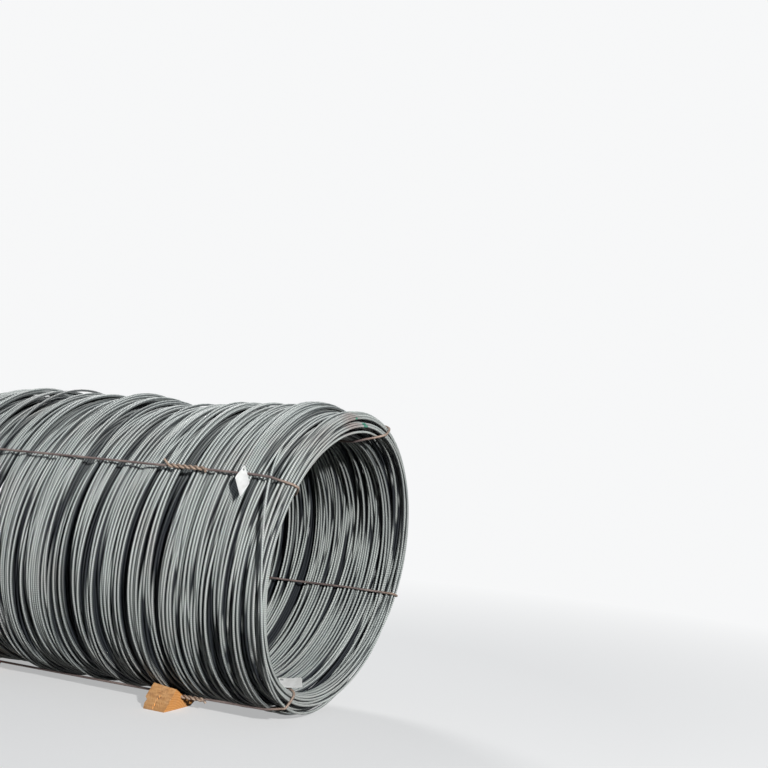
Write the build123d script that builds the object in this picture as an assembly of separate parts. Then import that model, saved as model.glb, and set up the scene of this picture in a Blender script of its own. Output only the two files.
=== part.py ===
"""Coil of ribbed wire rod as a rod mill ties it: laid on its side on a yard, with two wooden
chocks under its near side.

Frame: X runs along the coil's axis and +X is the end that the tags hang at. -Y is the side that
the chocks are on, +Z is up, and the origin is on the ground under the middle of the coil.
Lengths are in millimetres and angles in degrees. An angle round the coil is counted from its
top towards -Y, so 90 is the near side and 180 is the ground.
"""

from build123d import *
import math
import os

# The coil
COIL_LENGTH = 2000.0  # along the coil, from the outermost turn of one end to that of the other
COIL_OUTSIDE_DIAMETER = 1250.0
COIL_WALL = 121.0
COIL_LEAN = 0.119  # the turns lean towards +X by this share of their height above the axis
END_BULGE = 58.0  # how far the rounded end of the wall stands out past its edges
END_TURNS = 7  # turns that show across the wall at each end
TURN_GROOVE = 4.0  # depth of the groove between two of those turns
SWELLS = 5  # bunches of turns along the outside
SWELL_HEIGHT = 6.0

# The tie wires, each a closed loop through the bore
TIE_WIRE_DIAMETER = 7.0
TIE_ANGLES = {"top": 338.0, "near_side": 55.0, "bottom": 160.0, "far_side": 253.0}
TIE_BEND_RADIUS = 48.0
TIE_CLEARANCE = 0.3
TIE_SIDES = 6  # sides of the wire's section
KNOT_LENGTH = 165.0  # where the wire's two ends are twisted together
KNOT_TURNS = 3
KNOT_STEPS_PER_TURN = 8
KNOT_SWELL = 4  # the knots lie in the hollow after this many bunches of turns from the rear

# The bare tags on two of the tie wires
TAG_LENGTH = 95.0
TAG_WIDTH = 70.0
TAG_THICKNESS = 1.0
TAG_HOLE_DIAMETER = 8.0
TAG_HOLE_INSET = 9.0  # from two edges of the tag
TAG_CLEARANCE = 0.3
TAG_OVERLAP = 9.0  # how far a tag reaches past the wire that it hangs on
OUTER_TAG_DISTANCE = 240.0  # from the coil's front end to the outer tag's corner
OUTER_TAG_TURN = 47.0  # how far the outer tag hangs turned in its own plane
OUTER_TAG_LIFT = 12.0  # how far it stands off the turns
BORE_TAG_DISTANCE = 50.0  # from the coil's front end to the middle of the bore tag

# The wooden chocks
CHOCK_LENGTH = 102.0
CHOCK_BASE = 183.0
CHOCK_CREST_ANGLE = 29.5  # from the bottom of the coil to the crest that stops it
CHOCK_HEEL = 184.0  # from the coil's middle to the chock's thin edge under it
CHOCK_FRONT_DISTANCE = 615.0  # from the coil's front end to the middle of the first chock
CHOCK_SPACING = 1076.0
CHOCK_CLEARANCE = 0.3

OUTSIDE_RADIUS = COIL_OUTSIDE_DIAMETER / 2
BORE_RADIUS = OUTSIDE_RADIUS - COIL_WALL
MIDDLE_RADIUS = OUTSIDE_RADIUS - COIL_WALL / 2
EDGE_X = COIL_LENGTH / 2 - END_BULGE  # where the wall's straight faces end
SWELL_SPACING = 2 * EDGE_X / SWELLS
KNOT_X = -EDGE_X + KNOT_SWELL * SWELL_SPACING
TIE_OFFSET = TIE_CLEARANCE + TIE_WIRE_DIAMETER / 2  # from the coil's face to the wire's middle


def end_points(side):
    """One end of the wall in the plane of x and radius, from the bore to the outside: a half
    ellipse that dips between each two turns."""
    points = []
    for step in range(1, 2 * END_TURNS):
        turn = math.radians(-90 + 180 * step / (2 * END_TURNS))
        dip = TURN_GROOVE if step % 2 == 0 else 0
        x = EDGE_X + (END_BULGE - dip) * math.cos(turn)
        radius = MIDDLE_RADIUS + (COIL_WALL / 2 - dip) * math.sin(turn)
        points.append((side * x, radius))
    return points


def outside_points():
    """The outside of the wall, from the rear end to the front: each bunch of turns swells to
    the full diameter and falls away to the next."""
    places = [-EDGE_X + SWELL_SPACING * step / 2 for step in range(2 * SWELLS + 1)]
    return [(x, outside_radius(x)) for x in places]


def rod_coil():
    """The wound rod: one profile turned about the coil's axis, and then leaned."""
    bore = [(EDGE_X, BORE_RADIUS), (-EDGE_X, BORE_RADIUS)]
    profile = bore + end_points(-1) + outside_points() + end_points(1)[::-1]
    with BuildPart() as coil:
        with BuildSketch():
            with BuildLine():
                Polyline(*profile, close=True)
            make_face()
        revolve(axis=Axis.X)
    lean = Matrix([[1, 0, COIL_LEAN, 0], [0, 1, 0, 0], [0, 0, 1, 0], [0, 0, 0, 1]])
    return Pos(0, 0, OUTSIDE_RADIUS) * coil.part.solids()[0].transform_geometry(lean)


def outward(angle):
    """The direction away from the coil's axis at an angle round it."""
    turn = math.radians(angle)
    return Vector(0, -math.sin(turn), math.cos(turn))


def on_coil(x, radius, angle):
    """A point of the leaned coil, from its place along the axis, its radius and its angle."""
    arm = outward(angle) * radius
    return Vector(x + COIL_LEAN * arm.Z, arm.Y, OUTSIDE_RADIUS + arm.Z)


def strand_pair(turn):
    """Two strands side by side, seen end on and turned: two hexagons that share a side."""
    radius = TIE_WIRE_DIAMETER / 2
    from_middle = radius * math.cos(math.radians(30))
    outline = []
    for strand in (turn, turn + 180):
        for corner in (-90, -30, 30, 90):
            at = math.radians(corner)
            point = Vector(0, from_middle + radius * math.cos(at), radius * math.sin(at))
            outline.append(point.rotate(Axis.X, strand))
        outline.append(Vector(0, 0, radius / 2).rotate(Axis.X, strand))
    return outline


def knot(angle):
    """The ends of a tie wire twisted together, along the outside of the wall."""
    middle = on_coil(KNOT_X, OUTSIDE_RADIUS + TIE_OFFSET, angle)
    steps = KNOT_TURNS * KNOT_STEPS_PER_TURN
    rings = []
    for step in range(steps + 1):
        place = middle + Vector(KNOT_LENGTH * (step / steps - 0.5), 0, 0)
        rings.append([place + point for point in strand_pair(360 * step / KNOT_STEPS_PER_TURN)])
    faces = [Face(Wire.make_polygon(rings[0])), Face(Wire.make_polygon(rings[-1]))]
    for ring, following in zip(rings, rings[1:]):
        for corner in range(len(ring)):
            after = (corner + 1) % len(ring)
            faces.append(Face(Wire.make_polygon([ring[corner], ring[after], following[after]])))
            faces.append(
                Face(Wire.make_polygon([ring[corner], following[after], following[corner]]))
            )
    return Solid(Shell(faces))


def tie_wire(angle):
    """One tie wire: from its knot along the wall's outside, round one end, back through the
    bore, round the other end and back to the knot."""
    outer = OUTSIDE_RADIUS + TIE_OFFSET
    inner = BORE_RADIUS - TIE_OFFSET
    reach = COIL_LENGTH / 2 + TIE_OFFSET
    corners = [
        on_coil(KNOT_X + KNOT_LENGTH / 2, outer, angle),
        on_coil(reach, outer, angle),
        on_coil(reach, inner, angle),
        on_coil(-reach, inner, angle),
        on_coil(-reach, outer, angle),
        on_coil(KNOT_X - KNOT_LENGTH / 2, outer, angle),
    ]
    twisted = knot(angle)
    with BuildPart() as wire:
        with BuildLine() as route:
            FilletPolyline(*corners, radius=TIE_BEND_RADIUS)
        with BuildSketch(Plane(origin=route.line @ 0, z_dir=route.line % 0)):
            RegularPolygon(TIE_WIRE_DIAMETER / 2, TIE_SIDES)
        sweep(path=route.line)
        add(twisted)
    return wire.part


def tag(place):
    """A bare tag in the plane given, whose origin is its holed corner and whose x runs along
    its length."""
    with BuildPart() as plate:
        with BuildSketch(place):
            Rectangle(TAG_LENGTH, TAG_WIDTH, align=(Align.MIN, Align.MIN))
            with Locations((TAG_HOLE_INSET, TAG_HOLE_INSET)):
                Circle(TAG_HOLE_DIAMETER / 2, mode=Mode.SUBTRACT)
        extrude(amount=TAG_THICKNESS / 2, both=True)
    return plate.part


def tag_outer():
    """The tag on the near side's tie wire: it hangs by one corner, turned, its foot lifted."""
    angle = TIE_ANGLES["near_side"]
    wire_radius = OUTSIDE_RADIUS + TIE_OFFSET
    wire = on_coil(COIL_LENGTH / 2 - OUTER_TAG_DISTANCE, wire_radius, angle)
    hang = outward(angle + 90 - OUTER_TAG_LIFT)
    face = outward(angle - OUTER_TAG_LIFT)
    height = TIE_WIRE_DIAMETER / 2 + TAG_CLEARANCE + TAG_THICKNESS / 2
    corner = wire + face * height - hang * TAG_OVERLAP
    turn = math.radians(OUTER_TAG_TURN)
    length_way = Vector(math.cos(turn), 0, 0) + hang * math.sin(turn)
    return tag(Plane(origin=corner, x_dir=length_way, z_dir=face * -1))


def tag_bore():
    """The tag in the bore: it lies along the bottom tie wire, one edge over the wire and the
    other on the turns."""
    angle = TIE_ANGLES["bottom"]
    inward = outward(angle) * -1
    across = outward(angle - 90)
    wire = on_coil(COIL_LENGTH / 2 - BORE_TAG_DISTANCE, BORE_RADIUS - TIE_OFFSET, angle)
    over_wire = TIE_WIRE_DIAMETER / 2 + TAG_CLEARANCE + TAG_THICKNESS / 2
    reach = TAG_WIDTH - TAG_OVERLAP
    rise = BORE_RADIUS - math.sqrt(BORE_RADIUS**2 - reach**2)
    over_turns = rise - TIE_OFFSET + TAG_CLEARANCE + TAG_THICKNESS / 2
    slope = (across * reach + inward * (over_turns - over_wire)).normalized()
    corner = wire + inward * over_wire - slope * TAG_OVERLAP + Vector(TAG_LENGTH / 2, 0, 0)
    length_way = Vector(-1, 0, 0)
    return tag(Plane(origin=corner, x_dir=length_way, z_dir=length_way.cross(slope)))


def outside_radius(x):
    """The radius of the wall's outside at a place along the turned profile."""
    swells_passed = (x + EDGE_X) / SWELL_SPACING
    from_crest = abs(swells_passed % 1 - 0.5) * 2
    return OUTSIDE_RADIUS - SWELL_HEIGHT * from_crest


def chock(middle_x):
    """A wedge sawn from a beam, its crest driven up to the fullest turns that it spans and its
    thin edge under the coil."""
    lean_there = COIL_LEAN * OUTSIDE_RADIUS * math.cos(math.radians(CHOCK_CREST_ANGLE))
    turned_x = middle_x + lean_there
    swell = math.floor((turned_x + EDGE_X) / SWELL_SPACING)
    swell_crest_x = -EDGE_X + (swell + 0.5) * SWELL_SPACING
    half = CHOCK_LENGTH / 2
    fullest_x = min(max(swell_crest_x, turned_x - half), turned_x + half)
    seat_radius = outside_radius(fullest_x) + CHOCK_CLEARANCE
    crest = outward(180 - CHOCK_CREST_ANGLE) * seat_radius
    with BuildPart() as wedge:
        with BuildSketch(Plane.YZ.offset(middle_x - CHOCK_LENGTH / 2)):
            with BuildLine():
                Polyline(
                    (-CHOCK_HEEL, 0),
                    (crest.Y, OUTSIDE_RADIUS + crest.Z),
                    (-CHOCK_HEEL - CHOCK_BASE, 0),
                    close=True,
                )
            make_face()
        extrude(amount=CHOCK_LENGTH)
    return wedge.part


def pieces():
    """Every piece of the coil by its name."""
    first_chock_x = COIL_LENGTH / 2 - CHOCK_FRONT_DISTANCE
    named = {"rod_coil": rod_coil()}
    for place, angle in TIE_ANGLES.items():
        named[f"tie_wire_{place}"] = tie_wire(angle)
    named["tag_outer"] = tag_outer()
    named["tag_bore"] = tag_bore()
    named["chock_front"] = chock(first_chock_x)
    named["chock_rear"] = chock(first_chock_x - CHOCK_SPACING)
    return named


os.makedirs("parts", exist_ok=True)
for name, piece in pieces().items():
    export_step(piece, f"parts/{name}.step")
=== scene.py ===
"""Coil of ribbed wire rod on its side, with its tie wires, bare tags and wooden chocks.

The frame: X runs along the coil's axis and +X is the end that the tags hang at. -Y is the side
that the chocks are on, +Z is up, and the origin is on the ground under the middle of the coil.
Lengths are in metres. An angle round the coil is counted from its top towards -Y, so a quarter
turn is the near side and a half turn is the ground.
"""

import bpy
import bmesh
import math
import numpy as np
from mathutils import Matrix, Vector


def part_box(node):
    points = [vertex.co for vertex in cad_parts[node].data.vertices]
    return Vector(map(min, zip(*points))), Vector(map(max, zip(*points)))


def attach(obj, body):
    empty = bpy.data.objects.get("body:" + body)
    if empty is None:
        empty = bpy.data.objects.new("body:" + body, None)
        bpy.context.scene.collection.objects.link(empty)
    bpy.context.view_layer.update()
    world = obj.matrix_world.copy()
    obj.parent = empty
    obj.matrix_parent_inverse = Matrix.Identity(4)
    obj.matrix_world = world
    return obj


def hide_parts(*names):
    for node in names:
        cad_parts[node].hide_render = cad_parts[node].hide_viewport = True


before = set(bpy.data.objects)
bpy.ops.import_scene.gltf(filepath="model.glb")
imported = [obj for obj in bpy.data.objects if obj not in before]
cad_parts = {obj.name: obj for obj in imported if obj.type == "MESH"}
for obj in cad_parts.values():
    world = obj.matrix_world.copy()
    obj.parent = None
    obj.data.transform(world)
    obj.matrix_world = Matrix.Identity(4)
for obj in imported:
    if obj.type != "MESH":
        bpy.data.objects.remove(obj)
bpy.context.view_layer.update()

# The camera, placed as the photograph was taken
CAMERA_PLACE = (3.226, -4.127, 1.058)
CAMERA_YAW = 27.06  # degrees from +Y towards -X
CAMERA_PITCH = 3.8  # degrees up
CAMERA_ROLL = 4.23  # degrees
CAMERA_FOCAL_PIXELS = 1146.4
CAMERA_FAR = 100
PHOTO_PIXELS = 768
SENSOR_WIDTH = 36.0

# The coil, from the box of its turned solid
COIL_LOW, COIL_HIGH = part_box("rod_coil")
COIL_LEAN = 0.119  # the turns lean towards +X by this share of their height above the axis
AXIS_HEIGHT = (COIL_LOW.z + COIL_HIGH.z) / 2
OUTSIDE_RADIUS = (COIL_HIGH.z - COIL_LOW.z) / 2
WALL = 0.121
MIDDLE_RADIUS = OUTSIDE_RADIUS - WALL / 2
BORE_RADIUS = OUTSIDE_RADIUS - WALL
HALF_LENGTH = 1.0
END_BULGE = 0.058  # how far the rounded end of the wall stands out past its edges
EDGE_X = HALF_LENGTH - END_BULGE  # where the wall's straight faces end

# Where the loose turns depart from a round coil: places and how far, with straight runs between
TOP_RISE = {
    -1.0: 0.012, -0.85: 0.023, -0.68: 0.035, -0.5: 0.037, -0.3: 0.038, -0.12: 0.034,
    0.02: 0.02, 0.12: 0.014, 0.21: 0.012, 0.3: 0.024, 0.41: 0.037, 0.52: 0.028,
    0.6: 0.022, 0.67: 0.025, 0.76: 0.033, 0.85: 0.028, 0.92: 0.012, 1.0: 0.0,
}  # along the coil, how far the top stands up
TOP_NARROWING = 1.5  # the power of the cosine by which that falls off down the sides
FRONT_BORE = {
    0: 0.012, 30: 0.017, 55: 0.012, 66: -0.003, 86: -0.015, 108: 0.0, 127: 0.016,
    145: 0.026, 165: 0.012, 190: 0.0, 330: 0.0,
}  # by angle, at the front end
FRONT_OUTSIDE = {
    0: 0.0, 40: 0.0, 150: -0.004, 180: -0.009, 200: -0.003, 216: 0.006, 230: -0.006,
    250: -0.017, 272: -0.018, 290: -0.010, 315: -0.011, 336: -0.015,
}  # the same on the outside
FRONT_DENT_START = 0.35  # along the coil, where the front end's dents begin
FRONT_DENT_LENGTH = 0.6  # and how long they take to reach their depth

# The rod and its turns
ROD_RADIUS = 0.0058  # over the ribs
ROD_SIDES = 6
TURNS = 735
TURN_PIECES = 5
STATIONS = 48  # places round a turn where it is kept off its neighbours
STEPS_ROUND = 88  # straight steps in a finished turn
TURN_SEED = 11
LOOSE_TURN = {
    0: (0.80, 0.590), 25: (0.82, 0.585), 42: (0.855, 0.603), 52: (0.885, 0.622),
    62: (0.915, 0.634), 74: (0.968, 0.630), 90: (1.0, 0.613), 110: (1.008, 0.602),
    130: (1.006, 0.600), 160: (0.985, 0.600), 200: (0.955, 0.606), 250: (0.93, 0.590),
    290: (0.88, 0.590), 330: (0.83, 0.590),
}  # by angle, the place along the coil and the radius of the turn that lies over the front end
LOOSE_TURN_WAVES = 6  # the most waves that it makes in one round
RIB_COUNT = 430  # ribs round one turn
RIB_SLANT = 420.0  # radians of the ribs' wave in a metre along the coil

# The bands that the rod is laid in: turns that keep together
BAND_SIZES = {1: 0.2, 2: 0.16, 3: 0.16, 4: 0.14, 5: 0.14, 6: 0.12, 8: 0.08}  # turns: chance
BAND_END_ROOM = 0.02  # from each end of the coil to the outermost band's middle
BAND_STRAY = 0.008  # how far bands stray from even places along the coil
BAND_OFF_CENTRE = (0.035, 0.016, 0.004, 0.057)  # off the axis: mean, spread, least and most
BAND_SHIFTS = (0.6, 2.2)  # radians from one band's far side to the next one's
BAND_TILT = 0.011  # how far bands lean to and fro along the coil
BAND_SLOPE = 0.5  # radians: a band's turns lie side by side on a slope, and this is its spread
BAND_RISE = 0.7  # the share of that slope that the turns climb
BAND_FAN = 0.05  # radians by which each turn's far side leaves the last one's
TURN_SPACING = 2.04 * ROD_RADIUS  # in a band
TURN_WAVES = ((0.0035, 1), (0.0016, 2), (0.0007, 3))  # how far a turn sways, and how often
RANDOM_ROUND = 6.28  # radians that a random direction is drawn from

# How the turns settle: pushed off each other, kept in the wall and smoothed, again and again
SETTLE_ROUNDS = 60
SETTLE_PUSHES = 3  # in each round
SETTLE_SHARE = 0.25  # of an overlap, by which one push moves each of two turns
SETTLE_NEIGHBOURS = 12
SETTLE_GAP = 1e-9  # keeps turns at one place from dividing by nothing
STIFF_ROUNDS = 56  # the rounds up to which every second one is smoothed
STIFF_WAVES = 7  # the most waves that a turn keeps in one round
LAST_WAVES = 12  # and when it is finished

# Painted shade on the turns, darker the deeper they lie in the wall: 0 to 1, with depths in rod
# diameters
DEEP_NEIGHBOURS = 16  # the neighbours each way that may hide a turn
DEEP_REACH = 7 * ROD_RADIUS  # how far aside they may lie
DARKEST_PAINTED_SHADE = 0.97
DARK_FROM = 0.56  # the depth at which it begins
DARK_FROM_SHIFT = 0.30  # how much deeper that is where the wall faces up
DARK_SPAN = 0.32  # from there to the darkest
OUTSIDE_REACH = 0.03  # from the middle of the wall to its outside turns
UP_HEIGHT = 0.45  # over or under the axis, where the wall counts as facing up or down in full
UP_MOST = 0.7  # over the axis it counts for no more than this
TOP_START, TOP_HEIGHT = 0.12, 0.43  # over the axis, where the outside's painted shade grows lighter: painted light on the top
PAINTED_TOP_LIGHT = 0.45  # and by how much
TONE_SEED = 12
TONE_MIDDLE, TONE_SPREAD = 0.5, 0.22  # of the turns' own greys

# The tie wires: the angles of each outside and in the bore, at the rear and at the front
TIE_WIRE_RADIUS = 0.0047
TIE_WIRE_SIDES = 10
TIE_WIRE_STEP = 0.02  # the shortest straight step that a longer span is cut into
TAUT_POINTS = 12  # round each turn, for the outline that the wire is pulled tight on
TIE_ROUTES = {
    "top": (338.0, 338.0, 350.0, 352.0),
    "near_side": (55.0, 57.5, 57.0, 55.0),
    "bottom": (161.0, 153.0, 158.0, 160.0),
    "far_side": (253.0, 253.0, 253.0, 251.0),
}
KNOT_LENGTH = 0.165
KNOT_TURNS = 3
KNOT_PLACES = {"top": 0.565, "near_side": 0.535, "bottom": 0.53, "far_side": 0.565}
KNOT_STEPS = 12  # in one turn of the knot
KNOT_ROOM = 0.01  # from the knot's ends to where the single wire takes over
KNOT_START = 0.6  # radians at which the first strand starts
KNOT_LIFT = 1.05 * TIE_WIRE_RADIUS  # of the knot's middle over the wire's line
STUB_REAR_REACH, STUB_FRONT_REACH = 0.0272, 0.01632  # of the wire's ends past the knot
STUB_LIFT = 0.011
STUB_ASIDE = 1.6  # degrees round the coil
STUB_START, STUB_POINTS, STUB_CURVE = 0.25, 4, 1.3  # its first point, their count and spread
BEND_START = 0.02  # before the wall's edge, where the wire begins to bend
BEND_LENGTH = 0.06  # from there to where it is bent most
BEND_FRESHNESS = 0.7  # beside the knot's 1

# The bare tags, by their corners from the holed one round
TAG_CORNERS = {
    "outer": (
        (0.832, -0.535, 1.008), (0.896, -0.588, 0.941),
        (0.892, -0.633, 0.884), (0.826, -0.580, 0.954),
    ),
    "bore": (
        (0.826, -0.165, 0.172), (0.934, -0.165, 0.188),
        (0.973, -0.215, 0.158), (0.876, -0.215, 0.145),
    ),
}
TAG_THICKNESS = 0.0012
TAG_COLUMNS, TAG_ROWS = 16, 12
TAG_HOLE = ((1, 1), (2, 1), (1, 2), (2, 2))  # the faces that are left out
TAG_CORNER_CUT, TAG_CORNER_START = 0.06, 1.55  # how far they are drawn in, and from where
TAG_BEND_WIDE, TAG_BEND_LONG = 0.004, 0.003
TAG_WAVE_WIDE, TAG_WAVE_LONG, TAG_WAVE_START = 2.6, 3.1, 0.4  # radians of those bends

# Green paint on a few turns at the top of the front end, and the rusty patch beside it
PAINT_MARKS = (
    (1.015, -0.082, 1.253), (1.071, -0.096, 1.219), (1.069, -0.039, 1.206), (1.066, -0.030, 1.183),
)
PAINT_REACH = 0.019
PAINT_EDGE = 0.02  # the nearness, 1 at a mark, at which the paint ends
PAINT_COVER = 0.85  # its share over the rod's own colour
RUST_PATCH = (1.060, -0.125, 1.200)
RUST_REACH = 0.085
RUST_MOST = 0.75  # its largest share

# The studio
WHITE = (0.93, 0.935, 0.94)
FLOOR_SHOWN = (0.86, 0.86, 0.85)
FLOOR_LIGHT = (0.045, 0.041, 0.036)  # what the floor sends back up
FLOOR_GLOW = 0.45  # the share of the backdrop's white that shows on the floor by the coil
FLOOR_FADE = 5.5  # metres from the coil at which the floor is plain white
FLOOR_NEAR = 0.6  # the nearness from which it is that share: 1 at the coil, 0 at FLOOR_FADE
FLOOR_HALF_SIZE = 60
SKY = (0.62, 0.76, 1.0)
SKY_STRENGTH = 0.10
LAMP_AIM = (0, 0, 0.6)
LAMPS = {
    "key": ((8.96, -6.90, 4.58), 0.45, 1600),
    "rear_fill": ((-6.5, 6.5, 6.0), 2.5, 600),
}  # place, size and watts

# The wooden chocks
CHOCK_SEEDS = {"front": 5, "rear": 8}
CHOCK_CREST_RISE = (0.023, 0.005)  # of the crest over the solid's, at the rear and front ends
CHOCK_END_LEANS = (0.028, 0.017)  # how far the top of each end leans to the front
CHOCK_THIN_EDGE = 0.020  # how much further the thin edge reaches at the front end
REAR_LEAN_START = 0.45  # share of the crest's height from which the rear end leans
CHOCK_GAP = 0.0006  # between the round outside and the chock's hollow
CHOCK_CREST_GAP = 0.002
CHOCK_COLUMNS = 30  # steps along a chock
CHOCK_UNDER_STEPS, CHOCK_SLOPE_STEPS, CHOCK_BASE_STEPS = 10, 14, 8
CHOCK_SPLINTERS = 0.0006
CHOCK_SMOOTH_HEIGHT = 0.001  # below which the thin edge has no splinters
CRACK_DEPTH = 0.004
CRACK_WIDTH = 0.018  # like the next values, a share of the chock's length
CRACK_TOP, CRACK_DRIFT, CRACK_WAVER = 0.70, 0.32, 0.03
CRACK_WAVES, CRACK_GROWTH = 9, 2.2  # on its way down the slope
NOTCH_DEPTH = 0.010
NOTCH_REACH = 0.16  # share of the chock's length
NOTCH_DOWN, NOTCH_HALF_HEIGHT = 0.66, 0.10  # shares of the slope

# Finishes
NONE, ALL = (0, 0, 0), (1, 1, 1)  # the ends of a plain share
RIB_SHADE = 0.72  # how dark the painted shade between the ribs is
CREVICE_SHADE = 0.85  # and of the painted shade between the turns
CREVICE_START, CREVICE_FULL = 0.82, 0.30  # of how squarely the rod faces its open side
END_FACE_START = EDGE_X - 0.02  # along the coil, from where the turns show their end side
END_FACE_FULL = HALF_LENGTH - 0.012
ROD_SCALE = [(0.2, (0.50, 0.545, 0.515)), (0.5, (0.72, 0.77, 0.725)), (0.8, (0.90, 0.94, 0.89))]
ROD_RUST = (0.50, 0.39, 0.35)
RUST_PATCHES = [(0.5, NONE), (0.75, (0.35, 0.35, 0.35))]
STREAK_SCALE = (60.0, 3.0, 3.0)
ROD_PAINT = (0.03, 0.36, 0.22)
# Painted shade: between the ribs, between the turns and deep in the wall
PAINTED_SHADE_BETWEEN_RIBS = (0.07, 0.08, 0.09)
PAINTED_SHADE_BETWEEN_TURNS = (0.022, 0.027, 0.036)
PAINTED_SHADE_DEEP_IN_WALL = (0.010, 0.013, 0.018)
WIRE_RUST = [(0.32, (0.07, 0.05, 0.049)), (0.5, (0.20, 0.15, 0.14)), (0.7, (0.46, 0.36, 0.31))]
WIRE_FRESH = [(0.35, (0.25, 0.15, 0.095)), (0.65, (0.62, 0.48, 0.36))]
WIRE_FRESH_SHARE = 0.7
TAG_WHITES = [(0.35, (0.76, 0.76, 0.73)), (0.6, (0.88, 0.88, 0.86))]
WOOD_ENDS = [(0.2, (0.80, 0.33, 0.08)), (0.8, (0.92, 0.43, 0.13))]
WOOD_SIDES = [
    (0.3, (0.36, 0.165, 0.06)), (0.52, (0.56, 0.285, 0.105)), (0.75, (0.72, 0.41, 0.175)),
]
END_GRAIN_FROM = 0.7  # of how squarely a side faces along the coil
GRAIN_SCALE = (7.0, 110.0, 110.0)
LOG_SHIFT = (0.0, 0.34, 0.10)  # from the middle of the log to the origin
WOOD_DUST, DUST_SHARE = (0.40, 0.30, 0.20), 0.2
DUST_PATCHES = [(0.45, NONE), (0.7, ALL)]
WOOD_PORES, PORE_SHARE = (0.20, 0.11, 0.06), 0.25


def from_table(table, value, period=None):
    """The value that a table gives between its places."""
    places, shifts = np.array(list(table)), np.array(list(table.values()))
    return np.interp(value, places, shifts, period=period)


def eased(share):
    """A share from 0 to 1 that starts and ends softly."""
    return share * share * (3 - 2 * share)


def top_rise(x, angle):
    return from_table(TOP_RISE, x) * np.clip(np.cos(angle), 0, None) ** TOP_NARROWING


def near_front(x):
    return eased(np.clip((x - FRONT_DENT_START) / FRONT_DENT_LENGTH, 0, 1))


def outside_at(x, angle):
    """The radius of the coil's outside, with its loose top and its dented front end."""
    dent = from_table(FRONT_OUTSIDE, np.degrees(angle), 360) * near_front(x)
    return OUTSIDE_RADIUS + top_rise(x, angle) + dent


def bore_at(x, angle):
    return BORE_RADIUS + from_table(FRONT_BORE, np.degrees(angle), 360) * near_front(x)


def keep_inside(x, radius, angle):
    """Moves what stands out of the wall's rounded outline back to it."""
    outside, bore = outside_at(x, angle), bore_at(x, angle)
    middle = (outside + bore) / 2
    half_wall = (outside - bore) / 2 - ROD_RADIUS
    past_edge = np.clip(np.abs(x) - EDGE_X, 0, None) / (END_BULGE - ROD_RADIUS)
    from_middle = (radius - middle) / half_wall
    reach = np.sqrt(past_edge**2 + from_middle**2)
    too_far = np.clip(reach, 1, None)
    radius = middle + half_wall * from_middle / too_far
    over = np.abs(x) > EDGE_X
    pulled = np.sign(x) * (EDGE_X + past_edge / too_far * (END_BULGE - ROD_RADIUS))
    return np.where(over, pulled, x), radius


def push_apart(x, radius):
    """One step that moves turns that overlap off each other, at every station."""
    order = np.argsort(x, axis=1)
    xs = np.take_along_axis(x, order, 1)
    rs = np.take_along_axis(radius, order, 1)
    move_x = np.zeros_like(xs)
    move_r = np.zeros_like(rs)
    spacing = 2 * ROD_RADIUS
    for step in range(1, SETTLE_NEIGHBOURS + 1):
        dx = xs[:, step:] - xs[:, :-step]
        dr = rs[:, step:] - rs[:, :-step]
        apart = np.sqrt(dx * dx + dr * dr) + SETTLE_GAP
        push = np.clip(spacing - apart, 0, None) * SETTLE_SHARE
        push_x, push_r = push * dx / apart, push * dr / apart
        move_x[:, step:] += push_x
        move_x[:, :-step] -= push_x
        move_r[:, step:] += push_r
        move_r[:, :-step] -= push_r
    back = np.argsort(order, axis=1)
    return (
        x + np.take_along_axis(move_x, back, 1),
        radius + np.take_along_axis(move_r, back, 1),
    )


def depth_below(across, height):
    """How far each place of each turn lies below its neighbours, in rod diameters: across
    orders the turns side by side, and height grows towards the open side."""
    order = np.argsort(across, axis=1)
    side = np.take_along_axis(across, order, 1)
    up = np.take_along_axis(height, order, 1)
    below = np.zeros_like(side)
    for step in range(1, DEEP_NEIGHBOURS + 1):
        near = np.clip(1 - (side[:, step:] - side[:, :-step]) / DEEP_REACH, 0, 1)
        rise = (up[:, step:] - up[:, :-step]) / (2 * ROD_RADIUS)
        below[:, :-step] = np.maximum(below[:, :-step], near * rise)
        below[:, step:] = np.maximum(below[:, step:], near * -rise)
    return np.take_along_axis(below, np.argsort(order, axis=1), 1)


def ring_filter(values, most, count=None):
    """Keeps only a turn's slow waves, which is all that stiff rod can follow."""
    waves = np.fft.rfft(values, axis=0)
    number = np.arange(len(waves))
    waves *= np.exp(-((number / most) ** 4))[:, None]
    if count is None:
        return np.fft.irfft(waves, len(values), axis=0)
    return np.fft.irfft(waves, count, axis=0) * count / len(values)


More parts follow.
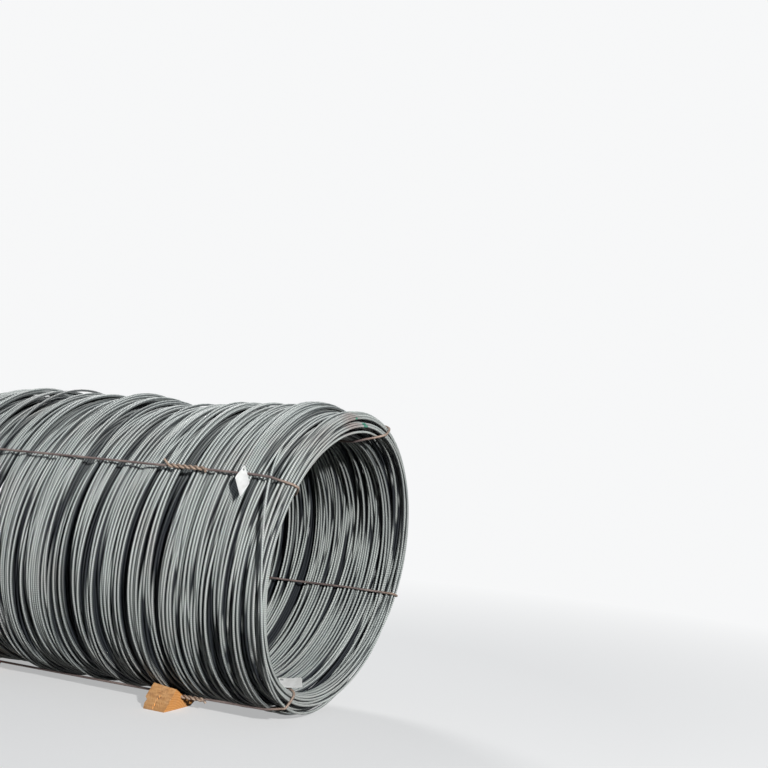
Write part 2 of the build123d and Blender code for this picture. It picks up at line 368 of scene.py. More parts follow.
def turn_places():
    """Where every turn runs: its place along the axis and its radius, at each step round it.
    The rod is laid in bands of a few turns that keep together. Each band is eccentric and
    tilted its own way, so bands cross, dive under each other and leave dark gaps."""
    rng = np.random.default_rng(TURN_SEED)
    angle = np.linspace(0, 2 * np.pi, STATIONS, endpoint=False)[:, None]
    sizes = rng.choice(list(BAND_SIZES), TURNS, p=list(BAND_SIZES.values()))
    sizes = sizes[: np.searchsorted(np.cumsum(sizes), TURNS) + 1]
    bands = len(sizes)
    band = np.repeat(np.arange(bands), sizes)[:TURNS]
    first = np.concatenate([[0], np.cumsum(sizes)])[band]
    in_band = np.arange(TURNS) - first - (sizes[band] - 1) / 2
    last_middle = HALF_LENGTH - BAND_END_ROOM
    middle = np.linspace(-last_middle, last_middle, bands) + rng.normal(0, BAND_STRAY, bands)
    phase = np.cumsum(rng.uniform(*BAND_SHIFTS, bands))
    mean, spread, least, most = BAND_OFF_CENTRE
    eccentric = np.clip(mean + spread * rng.normal(0, 1, bands), least, most)
    tilt, tilt_phase = BAND_TILT * rng.normal(0, 1, bands), rng.uniform(0, RANDOM_ROUND, bands)
    slope = rng.normal(0, BAND_SLOPE, bands)
    step = TURN_SPACING * in_band
    x = middle[band] + step * np.cos(slope)[band] + tilt[band] * np.cos(angle - tilt_phase[band])
    fanned = angle - phase[band] - BAND_FAN * in_band
    radius = MIDDLE_RADIUS + eccentric[band] * np.cos(fanned)
    radius = radius + step * np.sin(slope)[band] * BAND_RISE
    for size, wave in TURN_WAVES:
        turned = wave * angle - rng.uniform(0, RANDOM_ROUND, TURNS)
        x = x + size * rng.normal(0, 1, TURNS) * np.cos(turned)
        radius = radius + size * rng.normal(0, 1, TURNS) * np.sin(turned)
    across = np.clip((radius - BORE_RADIUS) / WALL, 0, 1)
    shift = (outside_at(x, angle) - OUTSIDE_RADIUS) * across
    radius = radius + shift + (bore_at(x, angle) - BORE_RADIUS) * (1 - across)
    for settled in range(SETTLE_ROUNDS):
        for _ in range(SETTLE_PUSHES):
            x, radius = push_apart(x, radius)
        x, radius = keep_inside(x, radius, angle)
        if settled % 2 == 1 and settled < STIFF_ROUNDS:
            x, radius = ring_filter(x, STIFF_WAVES), ring_filter(radius, STIFF_WAVES)
    return tuple(ring_filter(values, LAST_WAVES, STEPS_ROUND) for values in (x, radius))


def loose_turn():
    """The turn that lies over the others at the front end."""
    angles = np.linspace(0, 360, STEPS_ROUND, endpoint=False)
    table = np.array(list(LOOSE_TURN.values()))
    x = np.interp(angles, list(LOOSE_TURN), table[:, 0], period=360)
    radius = np.interp(angles, list(LOOSE_TURN), table[:, 1], period=360)
    return tuple(ring_filter(values[:, None], LOOSE_TURN_WAVES) for values in (x, radius))


def on_coil(x, radius, angle):
    """Points of the leaned coil as an array, from places along the axis, radii and angles."""
    height = radius * np.cos(angle)
    side = -radius * np.sin(angle)
    return np.stack([x + COIL_LEAN * height, side, AXIS_HEIGHT + height], axis=-1)


def input_socket(tree, name, kind, value=None):
    socket = tree.interface.new_socket(name, in_out="INPUT", socket_type=kind)
    if value is not None:
        socket.default_value = value
    return socket


def tube_tree():
    """Round rod or wire along every line of a mesh."""
    tree = bpy.data.node_groups.new("rod_along_lines", "GeometryNodeTree")
    input_socket(tree, "Geometry", "NodeSocketGeometry")
    input_socket(tree, "Radius", "NodeSocketFloat", ROD_RADIUS)
    input_socket(tree, "Sides", "NodeSocketInt", ROD_SIDES)
    input_socket(tree, "Finish", "NodeSocketMaterial")
    tree.interface.new_socket("Geometry", in_out="OUTPUT", socket_type="NodeSocketGeometry")
    new, link = tree.nodes.new, tree.links.new
    inputs, output = new("NodeGroupInput"), new("NodeGroupOutput")
    lines, section = new("GeometryNodeMeshToCurve"), new("GeometryNodeCurvePrimitiveCircle")
    tube, smooth = new("GeometryNodeCurveToMesh"), new("GeometryNodeSetShadeSmooth")
    realize, finish = new("GeometryNodeRealizeInstances"), new("GeometryNodeSetMaterial")
    tube.inputs["Fill Caps"].default_value = True
    link(inputs.outputs["Geometry"], lines.inputs["Mesh"])
    link(inputs.outputs["Sides"], section.inputs["Resolution"])
    link(inputs.outputs["Radius"], section.inputs["Radius"])
    link(lines.outputs["Curve"], tube.inputs["Curve"])
    link(section.outputs["Curve"], tube.inputs["Profile Curve"])
    link(tube.outputs["Mesh"], smooth.inputs["Geometry"])
    link(smooth.outputs["Geometry"], realize.inputs["Geometry"])
    link(realize.outputs["Geometry"], finish.inputs["Geometry"])
    link(inputs.outputs["Finish"], finish.inputs["Material"])
    link(finish.outputs["Geometry"], output.inputs["Geometry"])
    return tree


def line_mesh(name, lines, closed, values=None):
    """A mesh of bare edges, one chain for each line of points."""
    points = np.concatenate(lines)
    edges, first = [], 0
    for line in lines:
        count = len(line)
        start = np.arange(first, first + count - (0 if closed else 1))
        end = start + 1
        if closed:
            end[-1] = first
        edges.append(np.stack([start, end], 1))
        first += count
    mesh = bpy.data.meshes.new(name)
    mesh.from_pydata(points.tolist(), np.concatenate(edges).tolist(), [])
    for key, data in (values or {}).items():
        attribute = mesh.attributes.new(key, "FLOAT", "POINT")
        attribute.data.foreach_set("value", np.asarray(data, np.float32).ravel())
    return mesh


def tubes(name, mesh, tree, radius, sides, material):
    """A finished mesh of tubes along a line mesh."""
    maker = bpy.data.objects.new(name + "_lines", mesh)
    bpy.context.scene.collection.objects.link(maker)
    modifier = maker.modifiers.new("rod", "NODES")
    modifier.node_group = tree
    wanted = {"Radius": radius, "Sides": sides, "Finish": material}
    for item in tree.interface.items_tree:
        if item.in_out == "INPUT" and item.name in wanted:
            modifier[item.identifier] = wanted[item.name]
    graph = bpy.context.evaluated_depsgraph_get()
    solid = bpy.data.meshes.new_from_object(maker.evaluated_get(graph))
    solid.name = name
    bpy.data.objects.remove(maker)
    bpy.data.meshes.remove(mesh)
    piece = bpy.data.objects.new(name, solid)
    bpy.context.scene.collection.objects.link(piece)
    return piece


def material(name):
    made = bpy.data.materials.new(name)
    made.use_nodes = True
    tree = made.node_tree
    return made, tree, tree.nodes["Principled BSDF"]


def maths(tree, operation, first, second=None, third=None):
    node = tree.nodes.new("ShaderNodeMath")
    node.operation = operation
    for socket, value in zip(node.inputs, (first, second, third)):
        if value is None:
            continue
        if isinstance(value, (int, float)):
            socket.default_value = value
        else:
            tree.links.new(value, socket)
    return node.outputs[0]


def noise(tree, vector, scale, detail=3.0, rough=0.55):
    node = tree.nodes.new("ShaderNodeTexNoise")
    node.inputs["Scale"].default_value = scale
    node.inputs["Detail"].default_value = detail
    node.inputs["Roughness"].default_value = rough
    tree.links.new(vector, node.inputs["Vector"])
    return node.outputs["Fac"]


def ramp(tree, factor, stops):
    node = tree.nodes.new("ShaderNodeValToRGB")
    elements = node.color_ramp.elements
    while len(elements) < len(stops):
        elements.new(0.5)
    for element, (place, colour) in zip(elements, stops):
        element.position = place
        element.color = (*colour, 1)
    tree.links.new(factor, node.inputs["Fac"])
    return node.outputs["Color"]


def mix(tree, factor, first, second, blend="MIX"):
    node = tree.nodes.new("ShaderNodeMix")
    node.data_type = "RGBA"
    node.blend_type = blend
    sockets = (node.inputs[0], node.inputs[6], node.inputs[7])  # its factor and two colours
    for socket, value in zip(sockets, (factor, first, second)):
        if isinstance(value, (int, float)):
            socket.default_value = value
        elif isinstance(value, tuple):
            socket.default_value = (*value, 1)
        else:
            tree.links.new(value, socket)
    return node.outputs[2]


def near_point(tree, place, point, reach):
    """1 at a point, falling to 0 at the given reach from it."""
    node = tree.nodes.new("ShaderNodeVectorMath")
    node.operation = "DISTANCE"
    tree.links.new(place, node.inputs[0])
    node.inputs[1].default_value = point
    share = maths(tree, "DIVIDE", node.outputs["Value"], reach)
    return maths(tree, "MAXIMUM", maths(tree, "SUBTRACT", 1, share), 0)


def scaled(tree, vector, scale):
    node = tree.nodes.new("ShaderNodeMapping")
    node.inputs["Scale"].default_value = scale
    tree.links.new(vector, node.inputs["Vector"])
    return node.outputs["Vector"]


def split(tree, vector):
    """A vector's X, Y and Z."""
    node = tree.nodes.new("ShaderNodeSeparateXYZ")
    tree.links.new(vector, node.inputs[0])
    return node.outputs["X"], node.outputs["Y"], node.outputs["Z"]


def object_place(tree):
    return tree.nodes.new("ShaderNodeTexCoord").outputs["Object"]


def facing(tree):
    """X, Y and Z of the way that a surface faces."""
    return split(tree, tree.nodes.new("ShaderNodeNewGeometry").outputs["Normal"])


def mesh_value(tree, name):
    """A value that a mesh carries at each of its points."""
    node = tree.nodes.new("ShaderNodeAttribute")
    node.attribute_name = name
    return node.outputs["Fac"]


def blended(tree, first, second, share):
    """Two values in one, of which the first makes up the given share."""
    rest = maths(tree, "MULTIPLY", second, 1 - share)
    return maths(tree, "ADD", maths(tree, "MULTIPLY", first, share), rest)


def bumps(tree, shader, height, distance, strength=1.0):
    node = tree.nodes.new("ShaderNodeBump")
    node.inputs["Distance"].default_value = distance
    node.inputs["Strength"].default_value = strength
    tree.links.new(height, node.inputs["Height"])
    tree.links.new(node.outputs["Normal"], shader.inputs["Normal"])


def on_ribs(tree, x, y, height):
    """1 on the ribs that cross the rod, 0 between them."""
    along = maths(tree, "MULTIPLY", maths(tree, "ARCTAN2", y, height), RIB_COUNT)
    slant = maths(tree, "MULTIPLY", x, RIB_SLANT)
    wave = maths(tree, "SINE", maths(tree, "ADD", along, slant))
    return maths(tree, "MULTIPLY_ADD", wave, 0.5, 0.5)


def painted_crevice_shade(tree, x, y, height):
    """Painted shade between the turns: 0 on the side of the rod that the coil shows, rising to 1
    on the sides that its neighbours hide. The open side is square to the axis, but along it on the
    ends of the coil."""
    face_x, face_y, face_z = facing(tree)
    away_y = maths(tree, "MULTIPLY", y, face_y)
    away_z = maths(tree, "MULTIPLY", height, face_z)
    outward = maths(tree, "DIVIDE", maths(tree, "ADD", away_y, away_z), MIDDLE_RADIUS)
    outward, endward = (maths(tree, "ABSOLUTE", part) for part in (outward, face_x))
    upright_x = maths(tree, "MULTIPLY_ADD", height, -COIL_LEAN, x)
    off_middle = maths(tree, "ABSOLUTE", upright_x)
    at_end = ramp(tree, off_middle, [(END_FACE_START, NONE), (END_FACE_FULL, ALL)])
    change = maths(tree, "SUBTRACT", endward, outward)
    open_side = maths(tree, "MULTIPLY_ADD", change, at_end, outward)
    return ramp(tree, open_side, [(CREVICE_FULL, ALL), (CREVICE_START, NONE)])


def rod_material():
    """Hot-rolled ribbed rod: grey scale with a blue-green cast, a little different on each turn,
    brown with rust in patches and green where it is painted. It has painted shade between the
    ribs, between the turns and deep in the wall."""
    made, tree, shader = material("ribbed_rod")
    place = object_place(tree)
    x, y, z = split(tree, place)
    height = maths(tree, "SUBTRACT", z, AXIS_HEIGHT)
    streaks = noise(tree, scaled(tree, place, STREAK_SCALE), scale=1.0, detail=2.0)
    grey = ramp(tree, blended(tree, mesh_value(tree, "tone"), streaks, 0.5), ROD_SCALE)
    patches = noise(tree, place, scale=3.2, detail=4.0)
    rust = ramp(tree, patches, RUST_PATCHES)
    rust = maths(tree, "ADD", rust, near_point(tree, place, RUST_PATCH, RUST_REACH))
    coloured = mix(tree, maths(tree, "MINIMUM", rust, RUST_MOST), grey, ROD_RUST)
    for point in PAINT_MARKS:
        nearness = near_point(tree, place, point, PAINT_REACH)
        paint = maths(tree, "GREATER_THAN", nearness, PAINT_EDGE)
        coloured = mix(tree, maths(tree, "MULTIPLY", paint, PAINT_COVER), coloured, ROD_PAINT)
    ribs = on_ribs(tree, x, y, height)
    # Painted shade in the grooves between the ribs
    rib_groove_shade = maths(tree, "MULTIPLY_ADD", ribs, -RIB_SHADE, RIB_SHADE)
    # Painted shade on the sides of each turn that its neighbours hide
    crevice_shade = maths(tree, "MULTIPLY", painted_crevice_shade(tree, x, y, height), CREVICE_SHADE)
    shaded = mix(tree, rib_groove_shade, coloured, PAINTED_SHADE_BETWEEN_RIBS)
    shaded = mix(tree, crevice_shade, shaded, PAINTED_SHADE_BETWEEN_TURNS)
    # Painted shade deep in the wall, by the value that each place of the turns carries
    shaded = mix(tree, mesh_value(tree, "painted_shade"), shaded, PAINTED_SHADE_DEEP_IN_WALL)
    tree.links.new(shaded, shader.inputs["Base Color"])
    roughness = maths(tree, "MULTIPLY_ADD", streaks, 0.25, 0.42)
    tree.links.new(roughness, shader.inputs["Roughness"])
    shader.inputs["Metallic"].default_value = 0.0
    shader.inputs["Specular IOR Level"].default_value = 0.24
    bumps(tree, shader, ribs, distance=0.0013)
    return made


def wire_material():
    """Tie wire of plain rod: dark brown rust, pale and orange where it was bent."""
    made, tree, shader = material("rusty_tie_wire")
    place = object_place(tree)
    broad = noise(tree, place, scale=9.0, detail=3.0)
    fine = noise(tree, place, scale=260.0, detail=4.0, rough=0.65)
    rust = ramp(tree, blended(tree, broad, fine, 0.55), WIRE_RUST)
    fresh = maths(tree, "MULTIPLY", mesh_value(tree, "bent"), WIRE_FRESH_SHARE)
    coloured = mix(tree, fresh, rust, ramp(tree, fine, WIRE_FRESH))
    tree.links.new(coloured, shader.inputs["Base Color"])
    roughness = maths(tree, "MULTIPLY_ADD", fine, 0.3, 0.5)
    tree.links.new(roughness, shader.inputs["Roughness"])
    shader.inputs["Metallic"].default_value = 0.15
    bumps(tree, shader, fine, distance=0.0004)
    return made


def tag_material():
    """Bare white tag with faint smudges and a few small creases."""
    made, tree, shader = material("bare_tag")
    place = object_place(tree)
    smudge = noise(tree, place, scale=38.0, detail=4.0, rough=0.6)
    crease = noise(tree, place, scale=90.0, detail=2.0)
    tree.links.new(ramp(tree, smudge, TAG_WHITES), shader.inputs["Base Color"])
    roughness = maths(tree, "MULTIPLY_ADD", smudge, 0.3, 0.35)
    tree.links.new(roughness, shader.inputs["Roughness"])
    bumps(tree, shader, crease, distance=0.0006, strength=0.5)
    return made


def year_rings(tree, place):
    """Rings round the middle of the log that the chocks were sawn from, which lies below them."""
    centre = tree.nodes.new("ShaderNodeMapping")
    centre.inputs["Location"].default_value = LOG_SHIFT
    tree.links.new(place, centre.inputs["Vector"])
    rings = tree.nodes.new("ShaderNodeTexWave")
    rings.wave_type = "RINGS"
    rings.rings_direction = "X"
    rings.inputs["Scale"].default_value = 34.0
    rings.inputs["Distortion"].default_value = 1.6
    rings.inputs["Detail Scale"].default_value = 3.0
    tree.links.new(centre.outputs["Vector"], rings.inputs["Vector"])
    return rings.outputs["Fac"]


def wood_material():
    """Sawn softwood: orange end grain with its year rings on the ends, long brown grain on the
    sides, and grey dust and dark pores on both."""
    made, tree, shader = material("sawn_wood")
    place = object_place(tree)
    endward = maths(tree, "ABSOLUTE", facing(tree)[0])
    at_end = maths(tree, "GREATER_THAN", endward, END_GRAIN_FROM)
    stretched = scaled(tree, place, GRAIN_SCALE)
    long_grain = noise(tree, stretched, scale=1.0, detail=4.0, rough=0.6)
    stain = noise(tree, place, scale=22.0, detail=3.0)
    pores = noise(tree, place, scale=420.0, detail=3.0, rough=0.6)
    ends = ramp(tree, year_rings(tree, place), WOOD_ENDS)
    wood = mix(tree, at_end, ramp(tree, long_grain, WOOD_SIDES), ends)
    dust = maths(tree, "MULTIPLY", ramp(tree, stain, DUST_PATCHES), DUST_SHARE)
    dusty = mix(tree, dust, wood, WOOD_DUST)
    speckled = mix(tree, maths(tree, "MULTIPLY", pores, PORE_SHARE), dusty, WOOD_PORES)
    tree.links.new(speckled, shader.inputs["Base Color"])
    shader.inputs["Roughness"].default_value = 0.85
    bumps(tree, shader, blended(tree, long_grain, pores, 0.7), distance=0.0016, strength=0.8)
    return made


def placed(name, made, finish):
    """An object at the origin, of a mesh that is made."""
    mesh = bpy.data.meshes.new(name)
    made.to_mesh(mesh)
    made.free()
    mesh.materials.append(finish)
    piece = bpy.data.objects.new(name, mesh)
    bpy.context.scene.collection.objects.link(piece)
    return piece


def finish_piece(piece, slot, *nodes):
    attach(piece, "root")
    if nodes:
        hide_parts(*nodes)


def painted_wall_shade(x, radius, angle):
    """The painted shade on each place of each turn, from 0 to 1: the deeper it lies in the wall
    below its neighbours, the darker. Where the wall faces up, the painted shade starts deeper, as
    light reaches deeper there."""
    from_sides = np.minimum(depth_below(x, radius), depth_below(x, -radius))
    from_ends = np.minimum(depth_below(radius, x), depth_below(radius, -x))
    height = radius * np.cos(angle)
    outside = np.clip((radius - MIDDLE_RADIUS) / OUTSIDE_REACH, -1, 1)
    faces_up = outside * np.clip(height / UP_HEIGHT, -1, UP_MOST)
    dark_from = DARK_FROM + DARK_FROM_SHIFT * faces_up
    # Painted light on the top of the outside: its painted shade is weaker there
    near_top = np.clip(outside, 0, 1) * np.clip((height - TOP_START) / TOP_HEIGHT, 0, 1)
    darkest = DARKEST_PAINTED_SHADE - PAINTED_TOP_LIGHT * near_top
    return darkest * np.clip((np.minimum(from_sides, from_ends) - dark_from) / DARK_SPAN, 0, 1)


def coil_turns(tree, x, radius):
    """The rod's turns, in a few pieces along the coil. Every turn has a tone of its own, and every
    place on it its painted shade, which rod_material darkens it by."""
    angle = np.linspace(0, 2 * np.pi, STEPS_ROUND, endpoint=False)[:, None]
    points = on_coil(x, radius, angle)
    rng = np.random.default_rng(TONE_SEED)
    tone = np.clip(rng.normal(TONE_MIDDLE, TONE_SPREAD, x.shape[1]), 0, 1)
    tone[-1] = TONE_MIDDLE
    # Painted shade by how deep each place lies in the wall
    painted_shade = painted_wall_shade(x, radius, angle)
    finish = rod_material()
    for number, members in enumerate(np.array_split(np.arange(x.shape[1]), TURN_PIECES)):
        lines = [points[:, turn] for turn in members]
        values = {"tone": np.repeat(tone[members], STEPS_ROUND), "painted_shade": painted_shade[:, members].T}
        name = f"rod_turns_{number + 1}"
        mesh = line_mesh(name, lines, True, values)
        piece = tubes(name, mesh, tree, ROD_RADIUS, ROD_SIDES, finish)
        finish_piece(piece, "rod", *(["rod_coil"] if number == 0 else []))


def hull(points):
    """The corners of the taut outline round some points of a plane, turning left."""
    points = sorted(map(tuple, points))

    def half(ordered):
        kept = []
        for point in ordered:
            while len(kept) > 1 and (
                (kept[-1][0] - kept[-2][0]) * (point[1] - kept[-2][1])
                <= (kept[-1][1] - kept[-2][1]) * (point[0] - kept[-2][0])
            ):
                kept.pop()
            kept.append(point)
        return kept[:-1]

    return np.array(half(points) + half(points[::-1]))


def length_share(x):
    """0 at the coil's rear end and 1 at its front end."""
    return (x + HALF_LENGTH) / (2 * HALF_LENGTH)


def taut_loop(x, radius, route):
    """The line of a tie wire pulled tight round the turns: places along the coil, radii and
    angles, once round the section of the wall."""
    outer_rear, outer_front, bore_front, bore_rear = route

    def section(rear, front, wanted):
        degrees = rear + (front - rear) * length_share(x.mean(axis=0))
        step = np.round(degrees / 360 * STEPS_ROUND).astype(int) % STEPS_ROUND
        turn = np.arange(x.shape[1])
        here = np.stack([x[step, turn], radius[step, turn]], 1)
        return here[wanted(here[:, 1])]

    turns = np.concatenate([
        section(outer_rear, outer_front, lambda r: r > MIDDLE_RADIUS),
        section(bore_rear, bore_front, lambda r: r < MIDDLE_RADIUS),
    ])
    circle = np.linspace(0, 2 * np.pi, TAUT_POINTS, endpoint=False)
    off = (ROD_RADIUS + TIE_WIRE_RADIUS) * np.stack([np.cos(circle), np.sin(circle)], 1)
    corners = hull((turns[:, None] + off).reshape(-1, 2))
    points = []
    for start, end in zip(corners, np.roll(corners, -1, axis=0)):
        pieces = max(1, int(np.linalg.norm(end - start) / TIE_WIRE_STEP))
        points += [start + (end - start) * k / pieces for k in range(pieces)]
    points = np.array(points)
    share = length_share(points[:, 0])
    across = eased(np.clip((points[:, 1] - BORE_RADIUS) / WALL, 0, 1))
    bore_angle = bore_rear + (bore_front - bore_rear) * share
    outer_angle = outer_rear + (outer_front - outer_rear) * share
    return points[:, 0], points[:, 1], bore_angle + (outer_angle - bore_angle) * across


def tie_line(x, radius, name):
    """One tie wire, from the stub of one end through its knot and round the wall to the other,
    and how freshly it was bent at each point."""
    along, away, angle = taut_loop(x, radius, TIE_ROUTES[name])
    knot_x = KNOT_PLACES[name]
    start, end = knot_x - KNOT_LENGTH / 2, knot_x + KNOT_LENGTH / 2
    outside = away > MIDDLE_RADIUS
    on_knot = outside & (along > start - KNOT_ROOM) & (along < end + KNOT_ROOM)
    order = np.argsort(along[outside])
    outer_x, outer_r, outer_a = (v[outside][order] for v in (along, away, angle))
    # Round from the knot's front end: front end of the wall, bore, rear end, knot's rear end
    front = np.flatnonzero(outside & (along >= end + KNOT_ROOM))
    first = front[np.argmin(along[front])]
    ahead = 1 if along[(first + 1) % len(along)] > along[first] else -1
    round_wall = [(first + ahead * k) % len(along) for k in range(len(along))]
    round_wall = [k for k in round_wall if not on_knot[k]]
    wall = np.stack([along, away, angle], 1)[round_wall]
    share = np.linspace(0, 1, KNOT_TURNS * KNOT_STEPS)
    knot_along = start + (end - start) * share
    middle_r = np.interp(knot_along, outer_x, outer_r) + KNOT_LIFT
    middle_a = np.interp(knot_along, outer_x, outer_a)

    def strand(turned):
        at = 2 * np.pi * KNOT_TURNS * share + turned
        side = np.degrees(TIE_WIRE_RADIUS * np.sin(at) / middle_r)
        return np.stack([knot_along, middle_r + TIE_WIRE_RADIUS * np.cos(at), middle_a + side], 1)

    def stub(last, ahead, aside):
        reach = np.linspace(STUB_START, 1, STUB_POINTS)[:, None]
        return last + reach**STUB_CURVE * np.array([ahead, STUB_LIFT, aside])

    first_strand, second_strand = strand(KNOT_START), strand(KNOT_START + np.pi)
    stub_rear = stub(first_strand[0], -STUB_REAR_REACH, -STUB_ASIDE)[::-1]
    stub_front = stub(second_strand[-1], STUB_FRONT_REACH, STUB_ASIDE)
    line = np.concatenate([stub_rear, first_strand, wall, second_strand, stub_front])
    bent = np.ones(len(line))
    before = len(stub_rear) + len(first_strand)
    past_edge = (np.abs(wall[:, 0]) - EDGE_X + BEND_START) / BEND_LENGTH
    bent[before : before + len(wall)] = BEND_FRESHNESS * np.clip(past_edge, 0, 1)
    return on_coil(line[:, 0], line[:, 1], np.radians(line[:, 2])), bent


def ties(tree, x, radius):
    finish = wire_material()
    for name in TIE_ROUTES:
        piece_name = "twisted_wire_" + name
        line, bent = tie_line(x, radius, name)
        mesh = line_mesh(piece_name, [line], False, {"bent": bent})
        piece = tubes(piece_name, mesh, tree, TIE_WIRE_RADIUS, TIE_WIRE_SIDES, finish)
        finish_piece(piece, "tie_wire", "tie_wire_" + name)


def bent_sheet(corners):
    """A tag without its thickness: a slightly bent sheet between its corners, which are cut a
    little, with a hole by the first one."""
    top, right, foot, left = (np.array(corner) for corner in corners)
    normal = np.cross(right - top, left - top)
    normal /= np.linalg.norm(normal)
    made = bmesh.new()
    grid = {}
    for i in range(TAG_COLUMNS + 1):
        for j in range(TAG_ROWS + 1):
            u, v = i / TAG_COLUMNS, j / TAG_ROWS
            from_middle = abs(u - 0.5) * 2 + abs(v - 0.5) * 2
            cut = TAG_CORNER_CUT * max(0, from_middle - TAG_CORNER_START)
            u_in, v_in = u + (0.5 - u) * cut, v + (0.5 - v) * cut
            upper = top * (1 - u_in) + right * u_in
            lower = left * (1 - u_in) + foot * u_in
            flat = upper * (1 - v_in) + lower * v_in
            bend = TAG_BEND_WIDE * math.sin(TAG_WAVE_WIDE * u + TAG_WAVE_START)
            bend += TAG_BEND_LONG * math.cos(TAG_WAVE_LONG * v)
            grid[i, j] = made.verts.new(Vector(flat + normal * bend))
    for i in range(TAG_COLUMNS):
        for j in range(TAG_ROWS):
            if (i, j) not in TAG_HOLE:
                round_face = ((i, j), (i + 1, j), (i + 1, j + 1), (i, j + 1))
                made.faces.new([grid[place] for place in round_face])
    return made


def tags():
    """The bare tags, with their thickness and their rounded edges."""
    finish = tag_material()
    for name, corners in TAG_CORNERS.items():
        piece = placed("bare_tag_" + name, bent_sheet(corners), finish)
        plate = piece.modifiers.new("plate", "SOLIDIFY")
        plate.thickness = TAG_THICKNESS
        plate.offset = 0
        smooth = piece.modifiers.new("smooth", "SUBSURF")
        smooth.levels = smooth.render_levels = 1
        finish_piece(piece, "tag", "tag_" + name)


def wedge_section(low, high, along):
    """A chock's section at a share of its length, as places across and up, and the height of
    its crest. It runs from the thin edge under the turns to the crest, down the outer slope and
    back along the base."""
    crest_z = high.z + CHOCK_CREST_RISE[0] * (1 - along) + CHOCK_CREST_RISE[1] * along
    crest_y = -math.sqrt(OUTSIDE_RADIUS**2 - (AXIS_HEIGHT - crest_z) ** 2) - CHOCK_CREST_GAP
    thin_y = high.y + CHOCK_THIN_EDGE * along
    section = []
    for share in np.linspace(0, 1, CHOCK_UNDER_STEPS, endpoint=False):
        y = thin_y + (crest_y - thin_y) * share
        under = AXIS_HEIGHT - math.sqrt(OUTSIDE_RADIUS**2 - y * y) - CHOCK_GAP
        section.append((y, max(0.0, min(under, crest_z))))
    for share in np.linspace(0, 1, CHOCK_SLOPE_STEPS, endpoint=False):
        section.append((crest_y + (low.y - crest_y) * share, crest_z * (1 - share)))
    for share in np.linspace(0, 1, CHOCK_BASE_STEPS, endpoint=False):
        section.append((low.y + (thin_y - low.y) * share, 0.0))
    return section, crest_z


def slope_marks(along, down):
    """How far the crack goes into a chock's outer slope, and how far the notch goes into its
    rear end, at shares of the chock's length and of the way down."""
    crack_at = CRACK_TOP - CRACK_DRIFT * down + CRACK_WAVER * math.sin(CRACK_WAVES * down)
    crack = math.exp(-(((along - crack_at) / CRACK_WIDTH) ** 2)) * min(1, CRACK_GROWTH * down)
    notch = max(0.0, 1 - abs(down - NOTCH_DOWN) / NOTCH_HALF_HEIGHT)
    return CRACK_DEPTH * crack, NOTCH_DEPTH * notch * max(0, 1 - along / NOTCH_REACH)


def rough_wedge(low, high, seed):
    """A chock's surface, with leaned ends, splintered edges, a crack and a notch."""
    count = CHOCK_UNDER_STEPS + CHOCK_SLOPE_STEPS + CHOCK_BASE_STEPS
    rng = np.random.default_rng(seed)
    rough = rng.normal(0, 1, (CHOCK_COLUMNS + 1, count, 3)) * CHOCK_SPLINTERS
    made = bmesh.new()
    rows = []
    for column in range(CHOCK_COLUMNS + 1):
        along = column / CHOCK_COLUMNS
        section, crest_z = wedge_section(low, high, along)
        row = []
        for k, (y, z) in enumerate(section):
            up = z / crest_z
            above = max(0, up - REAR_LEAN_START) / (1 - REAR_LEAN_START)
            x = low.x + (high.x - low.x) * along
            x += CHOCK_END_LEANS[0] * above * (1 - along) + CHOCK_END_LEANS[1] * up * along
            slope_step = k - CHOCK_UNDER_STEPS
            if 0 <= slope_step < CHOCK_SLOPE_STEPS:
                crack, notch = slope_marks(along, slope_step / CHOCK_SLOPE_STEPS)
                y += crack + abs(rough[column, k, 1])
                x += notch
            if column in (0, CHOCK_COLUMNS):
                x += rough[column, k, 0]
            if z > CHOCK_SMOOTH_HEIGHT and slope_step < 0:
                z = max(0.0, z - abs(rough[column, k, 2]))
            row.append(made.verts.new((x, y, z)))
        rows.append(row)
    for before, after in zip(rows, rows[1:]):
        for k in range(count):
            after_k = (k + 1) % count
            made.faces.new([before[k], before[after_k], after[after_k], after[k]])
    made.faces.new(rows[0][::-1])
    made.faces.new(rows[-1])
    bmesh.ops.recalc_face_normals(made, faces=made.faces)
    return made


def chocks():
    """The wooden wedges, their crest up against the turns."""
    finish = wood_material()
    for place, seed in CHOCK_SEEDS.items():
        node = "chock_" + place
        low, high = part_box(node)
        piece = placed("sawn_wedge_" + place, rough_wedge(low, high, seed), finish)
        finish_piece(piece, "chock", node)


def camera():
    yaw, pitch, roll = (math.radians(a) for a in (CAMERA_YAW, CAMERA_PITCH, CAMERA_ROLL))
    data = bpy.data.cameras.new("camera")
    data.sensor_width = SENSOR_WIDTH
    data.lens = SENSOR_WIDTH * CAMERA_FOCAL_PIXELS / PHOTO_PIXELS
    data.clip_end = CAMERA_FAR
    eye = bpy.data.objects.new("camera", data)
    bpy.context.scene.collection.objects.link(eye)
    level, rise = math.cos(pitch), math.sin(pitch)
    ahead = Vector((-math.sin(yaw) * level, math.cos(yaw) * level, rise))
    right = Vector((math.cos(yaw), math.sin(yaw), 0))
    up = right.cross(ahead)
    turned_right = math.cos(roll) * right + math.sin(roll) * up
    turned_up = -math.sin(roll) * right + math.cos(roll) * up
    place = Matrix((turned_right, turned_up, -ahead)).transposed().to_4x4()
    place.translation = CAMERA_PLACE
    eye.matrix_world = place
    bpy.context.scene.camera = eye


def seen_directly(tree):
    """1 for the camera and in reflections, 0 for the light that surfaces send each other."""
    path = tree.nodes.new("ShaderNodeLightPath")
    seen = maths(tree, "MAXIMUM", path.outputs["Is Camera Ray"], path.outputs["Is Glossy Ray"])
    return maths(tree, "MAXIMUM", seen, path.outputs["Is Transmission Ray"])


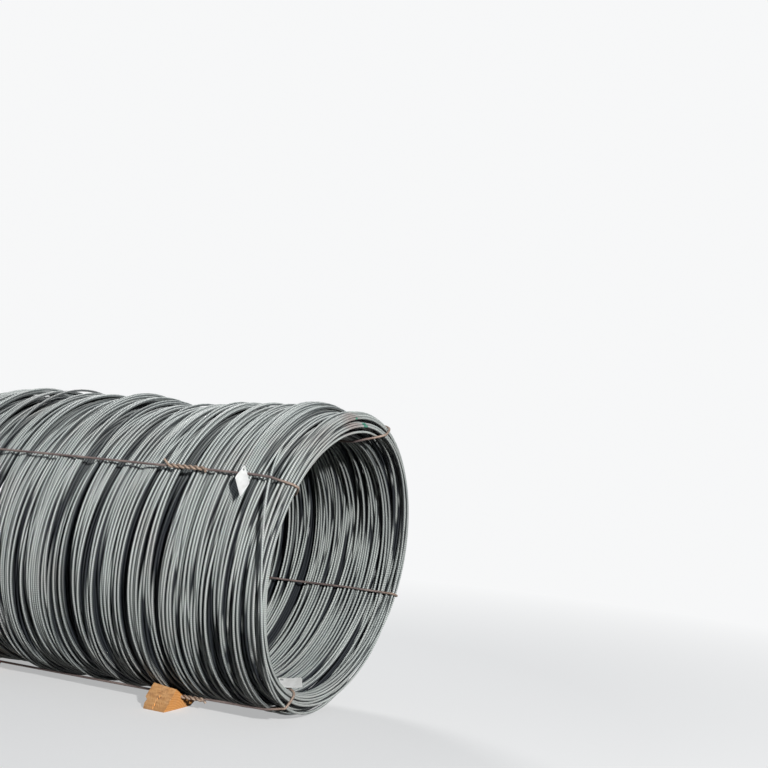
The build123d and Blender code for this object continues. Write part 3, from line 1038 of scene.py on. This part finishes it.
def shown_white(tree, share, surface, output):
    """Shows the backdrop's white in place of a surface, by the given share."""
    white = tree.nodes.new("ShaderNodeEmission")
    white.inputs["Color"].default_value = (*WHITE, 1)
    blend = tree.nodes.new("ShaderNodeMixShader")
    tree.links.new(share, blend.inputs["Fac"])
    tree.links.new(surface, blend.inputs[1])
    tree.links.new(white.outputs["Emission"], blend.inputs[2])
    tree.links.new(blend.outputs["Shader"], output)


def floor():
    """A pale floor that takes the shadow and fades to the backdrop's white away from the coil."""
    finish, tree, shader = material("pale_floor")
    seen = seen_directly(tree)
    tree.links.new(mix(tree, seen, FLOOR_LIGHT, FLOOR_SHOWN), shader.inputs["Base Color"])
    shader.inputs["Roughness"].default_value = 0.9
    shader.inputs["Specular IOR Level"].default_value = 0.0
    nearness = near_point(tree, object_place(tree), (0.0, 0.0, 0.0), FLOOR_FADE)
    glow = ramp(tree, nearness, [(0.0, ALL), (FLOOR_NEAR, (FLOOR_GLOW,) * 3)])
    output = tree.nodes["Material Output"].inputs["Surface"]
    shown_white(tree, maths(tree, "MULTIPLY", seen, glow), shader.outputs["BSDF"], output)
    made = bmesh.new()
    bmesh.ops.create_grid(made, x_segments=1, y_segments=1, size=FLOOR_HALF_SIZE)
    placed("floor", made, finish)


def lamp(name, place, size, power):
    data = bpy.data.lights.new(name, "AREA")
    data.size = size
    data.energy = power
    light = bpy.data.objects.new(name, data)
    bpy.context.scene.collection.objects.link(light)
    light.location = place
    light.rotation_mode = "QUATERNION"
    light.rotation_quaternion = (Vector(LAMP_AIM) - Vector(place)).to_track_quat("-Z", "Y")


def lights():
    """A faint blue sky that only lights the coil, and the lamps."""
    world = bpy.data.worlds.new("studio")
    bpy.context.scene.world = world
    world.use_nodes = True
    tree = world.node_tree
    background = tree.nodes["Background"]
    background.inputs["Color"].default_value = (*SKY, 1)
    background.inputs["Strength"].default_value = SKY_STRENGTH
    output = tree.nodes["World Output"].inputs["Surface"]
    shown_white(tree, seen_directly(tree), background.outputs["Background"], output)
    for name, settings in LAMPS.items():
        lamp(name, *settings)


def main():
    scene = bpy.context.scene
    scene.view_settings.view_transform = "Standard"
    camera()
    floor()
    lights()
    tree = tube_tree()
    x, radius = turn_places()
    over_x, over_radius = loose_turn()
    x, radius = np.hstack([x, over_x]), np.hstack([radius, over_radius])
    coil_turns(tree, x, radius)
    ties(tree, x, radius)
    tags()
    chocks()


main()
